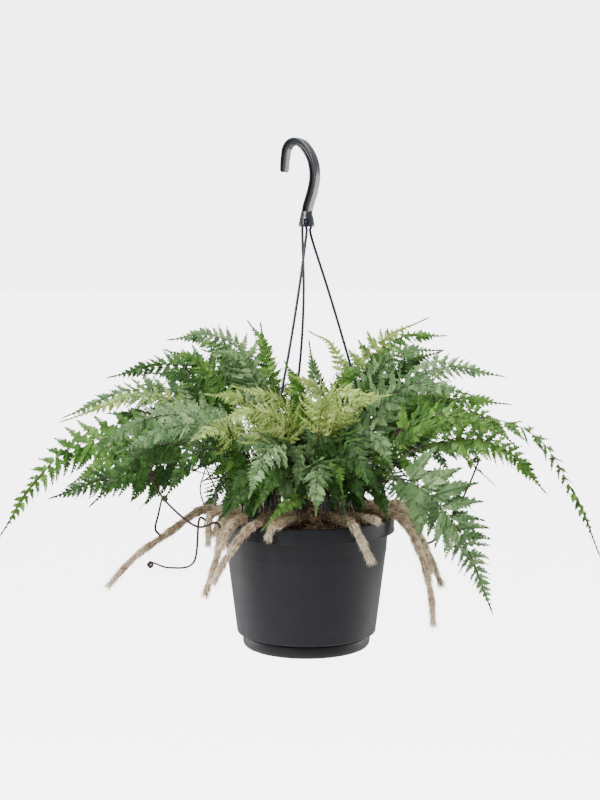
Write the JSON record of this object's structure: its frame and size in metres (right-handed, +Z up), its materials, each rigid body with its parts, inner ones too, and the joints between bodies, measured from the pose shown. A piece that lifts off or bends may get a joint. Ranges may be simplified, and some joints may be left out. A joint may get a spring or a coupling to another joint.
{
  "type": "hanging potted fern",
  "caption": "Hare's-foot fern in an anthracite plastic hanging pot, with furry rhizomes creeping over the rim, lacy arching fronds, moulded hook and hanger strands.",
  "frame": {"origin": "the seat under the arch of the hook, where a rail or ceiling hook carries the pot", "axes": "+Z up, -Y to the front of the plant, +X to its right"},
  "size_m": [0.6463, 0.4274, 0.5457],
  "materials": {
    "pot_plastic": "matte anthracite, lightly grained",
    "saucer_plastic": "matte anthracite",
    "hanger_plastic": "semi-gloss charcoal",
    "potting_mix": "dark peat with bark chips and fibres",
    "rhizome_fur": "tan furry scales",
    "crozier_stalk": "dark brown, slightly shiny stalk",
    "frond_mid": "mid-green leaf",
    "frond_blue": "blue-green leaf",
    "frond_dark": "dark green leaf",
    "frond_young": "young yellow-green leaf"
  },
  "bodies": {
    "root": {"crozier_left_hanging": "crozier_stalk", "crozier_left_tall": "crozier_stalk", "crozier_left_upright": "crozier_stalk", "crozier_right_tall": "crozier_stalk", "crozier_right_upright": "crozier_stalk", "drip_saucer": "saucer_plastic", "frond_back_left_long": "frond_dark", "frond_back_left_top": "frond_mid", "frond_back_long": "frond_mid", "frond_back_right_long": "frond_blue", "frond_centre_young_left": "frond_young", "frond_centre_young_low": "frond_young", "frond_centre_young_right": "frond_young", "frond_front_dark": "frond_dark", "frond_front_grey": "frond_blue", "frond_front_hanging": "frond_blue", "frond_front_leaf": "frond_mid", "frond_front_small": "frond_dark", "frond_left_back": "frond_blue", "frond_left_blue": "frond_blue", "frond_left_high": "frond_dark", "frond_left_high_back": "frond_mid", "frond_left_long": "frond_mid", "frond_left_low": "frond_dark", "frond_left_top": "frond_blue", "frond_middle_back_light": "frond_young", "frond_middle_top": "frond_mid", "frond_middle_upright": "frond_mid", "frond_right_back_top": "frond_mid", "frond_right_blue": "frond_blue", "frond_right_dark": "frond_dark", "frond_right_drooping": "frond_mid", "frond_right_front": "frond_blue", "frond_right_low": "frond_mid", "frond_right_rising": "frond_young", "hanger_hook": "hanger_plastic", "hanger_strand_1": "hanger_plastic", "hanger_strand_2": "hanger_plastic", "hanger_strand_3": "hanger_plastic", "pot": "pot_plastic", "potting_mix": "potting_mix", "rhizome_back": "rhizome_fur", "rhizome_back_left": "rhizome_fur", "rhizome_back_right": "rhizome_fur", "rhizome_front_inner": "rhizome_fur", "rhizome_front_left_long": "rhizome_fur", "rhizome_front_left_short": "rhizome_fur", "rhizome_front_right": "rhizome_fur", "rhizome_left_long": "rhizome_fur", "rhizome_left_short": "rhizome_fur", "rhizome_right_back": "rhizome_fur", "rhizome_right_long": "rhizome_fur", "rhizome_right_mid": "rhizome_fur", "rhizome_right_stub": "rhizome_fur"}
  },
  "joints": []
}
